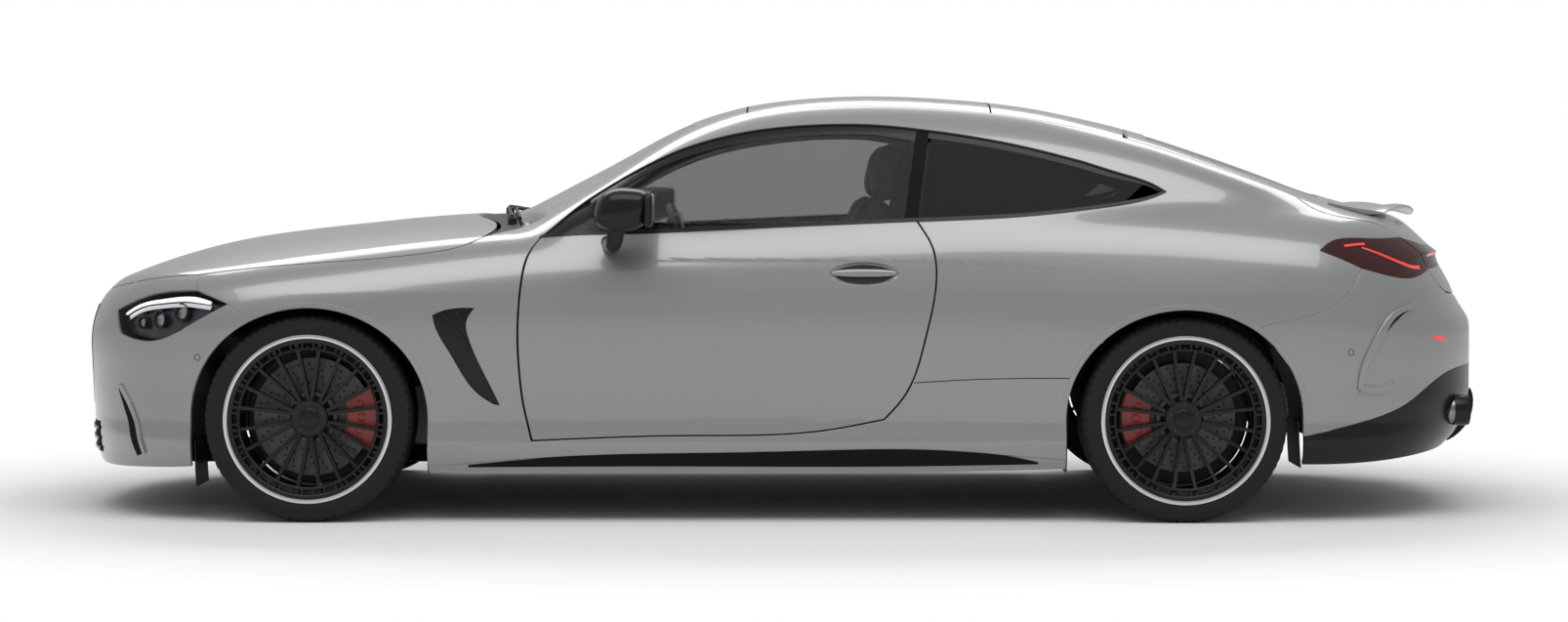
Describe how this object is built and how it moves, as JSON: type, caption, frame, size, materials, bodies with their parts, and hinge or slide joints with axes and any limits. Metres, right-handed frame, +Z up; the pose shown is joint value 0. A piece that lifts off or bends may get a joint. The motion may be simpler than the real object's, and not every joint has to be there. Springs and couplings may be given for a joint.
{
  "type": "coupe car",
  "caption": "Low coupe car with two opening doors, a bonnet, a glazed tailgate, steered front wheels and turning road wheels.",
  "frame": {"origin": "middle of the bounding box at ground level, under the wheels", "axes": "+Z up, -X the car's front, -Y its left side; the car stands on z = 0"},
  "size_m": [4.8288, 2.2522, 1.4178],
  "materials": {
    "paint": "glossy mid grey clear-coated paint",
    "black_plastic": "grained satin black plastic",
    "gloss_black": "gloss black",
    "glass": "lightly tinted",
    "lamp_clear": "clear lens over dark reflectors",
    "lamp_red": "smoked red lens",
    "tyre": "matt tread, satin sidewall",
    "wheel": "gloss black with a machined lip",
    "disc": "turned faces",
    "axle_metal": "cast",
    "steel": "black coated steel",
    "exhaust": "satin steel",
    "engine": "cast",
    "leather": "fine grained, stitched",
    "dash": "soft grained"
  },
  "bodies": {
    "body": {"front_wings": "paint", "body_sides": "paint", "quarter_glass": "glass", "windscreen": "glass", "roof": "paint", "cowl": "black_plastic", "tail_lamps": "lamp_red", "rear_bumper": "paint", "diffuser": "gloss_black", "exhaust": "exhaust", "front_bumper": "paint", "grille": "gloss_black", "headlamps": "lamp_clear", "side_skirts": "gloss_black", "wheel_liners": "black_plastic", "front_subframe": "steel", "rear_subframe": "steel", "engine": "engine", "floor_pan": "steel", "seats": "leather", "rear_seats": "leather", "dashboard": "dash"},
    "bonnet": {"bonnet": "paint"},
    "tailgate": {"tailgate": "paint", "gate_lamps": "lamp_red", "rear_window": "glass"},
    "door_left": {"door_left": "paint", "door_glass_left": "glass", "mirror_left": "gloss_black"},
    "knuckle_left": {"knuckle_left": "axle_metal"},
    "wheel_front_left": {"tyre_front_left": "tyre", "rim_front_left": "wheel", "disc_front_left": "disc"},
    "wheel_rear_left": {"tyre_rear_left": "tyre", "rim_rear_left": "wheel", "disc_rear_left": "disc"},
    "door_right": {"door_right": "paint", "door_glass_right": "glass", "mirror_right": "gloss_black"},
    "knuckle_right": {"knuckle_right": "axle_metal"},
    "wheel_front_right": {"tyre_front_right": "tyre", "rim_front_right": "wheel", "disc_front_right": "disc"},
    "wheel_rear_right": {"tyre_rear_right": "tyre", "rim_rear_right": "wheel", "disc_rear_right": "disc"},
    "steering_wheel": {"steering_wheel": "leather"}
  },
  "joints": [
    {"name": "door_left_hinge", "type": "hinge", "parent": "body", "child": "door_left", "pos_m": [-0.8, -0.89384, 0.55], "axis": [0, 0, -1], "range_deg": [0, 68]},
    {"name": "door_right_hinge", "type": "hinge", "parent": "body", "child": "door_right", "pos_m": [-0.8, 0.89384, 0.55], "axis": [0, 0, 1], "range_deg": [0, 68]},
    {"name": "bonnet_hinge", "type": "hinge", "parent": "body", "child": "bonnet", "pos_m": [-0.968, 0, 0.96041], "axis": [0, 1, 0], "range_deg": [0, 50]},
    {"name": "tailgate_hinge", "type": "hinge", "parent": "body", "child": "tailgate", "pos_m": [1.187, 0, 1.30152], "axis": [0, -1, 0], "range_deg": [0, 58]},
    {"name": "steer_left", "type": "hinge", "parent": "body", "child": "knuckle_left", "pos_m": [-1.561, -0.7625, 0.34], "axis": [0, 0, 1], "range_deg": [-33, 33]},
    {"name": "steer_right", "type": "hinge", "parent": "body", "child": "knuckle_right", "pos_m": [-1.561, 0.7625, 0.34], "axis": [0, 0, 1], "range_deg": [-33, 33]},
    {"name": "steering_wheel_turn", "type": "hinge", "parent": "body", "child": "steering_wheel", "pos_m": [-0.318, -0.372, 0.862], "axis": [-0.9135, 0, -0.4067], "range_deg": [-415, 415]},
    {"name": "wheel_front_left_spin", "type": "hinge", "parent": "knuckle_left", "child": "wheel_front_left", "pos_m": [-1.561, -0.8125, 0.34], "axis": [0, 1, 0], "continuous": true},
    {"name": "wheel_front_right_spin", "type": "hinge", "parent": "knuckle_right", "child": "wheel_front_right", "pos_m": [-1.561, 0.8125, 0.34], "axis": [0, 1, 0], "continuous": true},
    {"name": "wheel_rear_left_spin", "type": "hinge", "parent": "body", "child": "wheel_rear_left", "pos_m": [1.314, -0.8125, 0.3365], "axis": [0, 1, 0], "continuous": true},
    {"name": "wheel_rear_right_spin", "type": "hinge", "parent": "body", "child": "wheel_rear_right", "pos_m": [1.314, 0.8125, 0.3365], "axis": [0, 1, 0], "continuous": true}
  ],
  "couplings": [
    {"joint": "steer_right", "follows": "steer_left", "ratio": 1},
    {"joint": "steering_wheel_turn", "follows": "steer_left", "ratio": -12.5}
  ]
}
